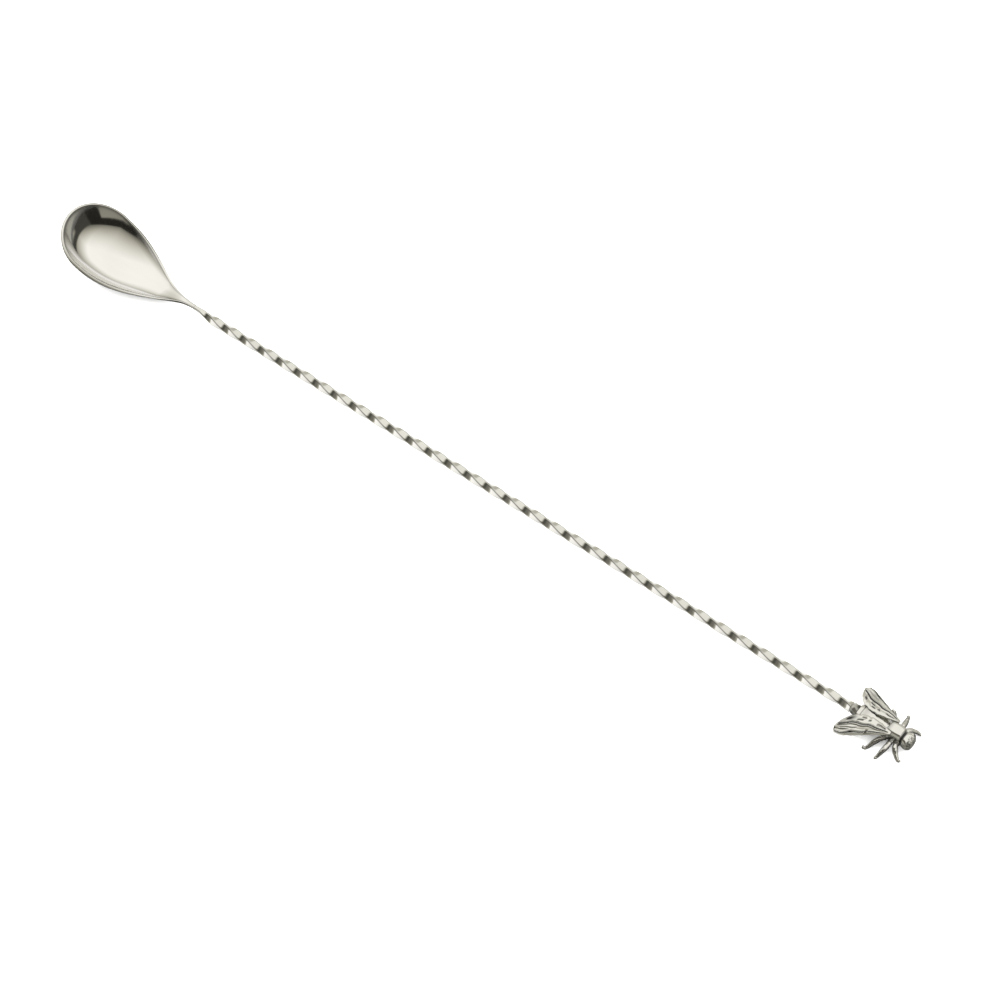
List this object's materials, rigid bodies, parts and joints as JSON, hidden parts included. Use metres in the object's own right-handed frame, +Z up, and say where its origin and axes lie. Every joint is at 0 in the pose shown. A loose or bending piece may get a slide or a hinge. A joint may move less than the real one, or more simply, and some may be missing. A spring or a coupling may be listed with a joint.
{
  "type": "bar spoon",
  "caption": "Bar spoon with a teardrop bowl, a twisted square stem and a cast insect finial.",
  "frame": {"origin": "on the table under the middle of the spoon's length, with the spoon lying bowl up", "axes": "+X along the stem from the bowl to the insect's head, +Z up out of the bowl's open side, +Y to the insect's left"},
  "size_m": [0.3349, 0.027, 0.0163],
  "materials": {
    "polished_steel": "polished",
    "cast_steel": "polished",
    "braze": "satin"
  },
  "bodies": {
    "root": {"bowl": "polished_steel", "stem": "polished_steel", "braze_collar": "braze", "insect_body": "cast_steel", "wing_left": "cast_steel", "wing_right": "cast_steel", "leg_front_left": "cast_steel", "leg_middle_left": "cast_steel", "leg_rear_left": "cast_steel", "leg_front_right": "cast_steel", "leg_middle_right": "cast_steel", "leg_rear_right": "cast_steel"}
  },
  "joints": []
}
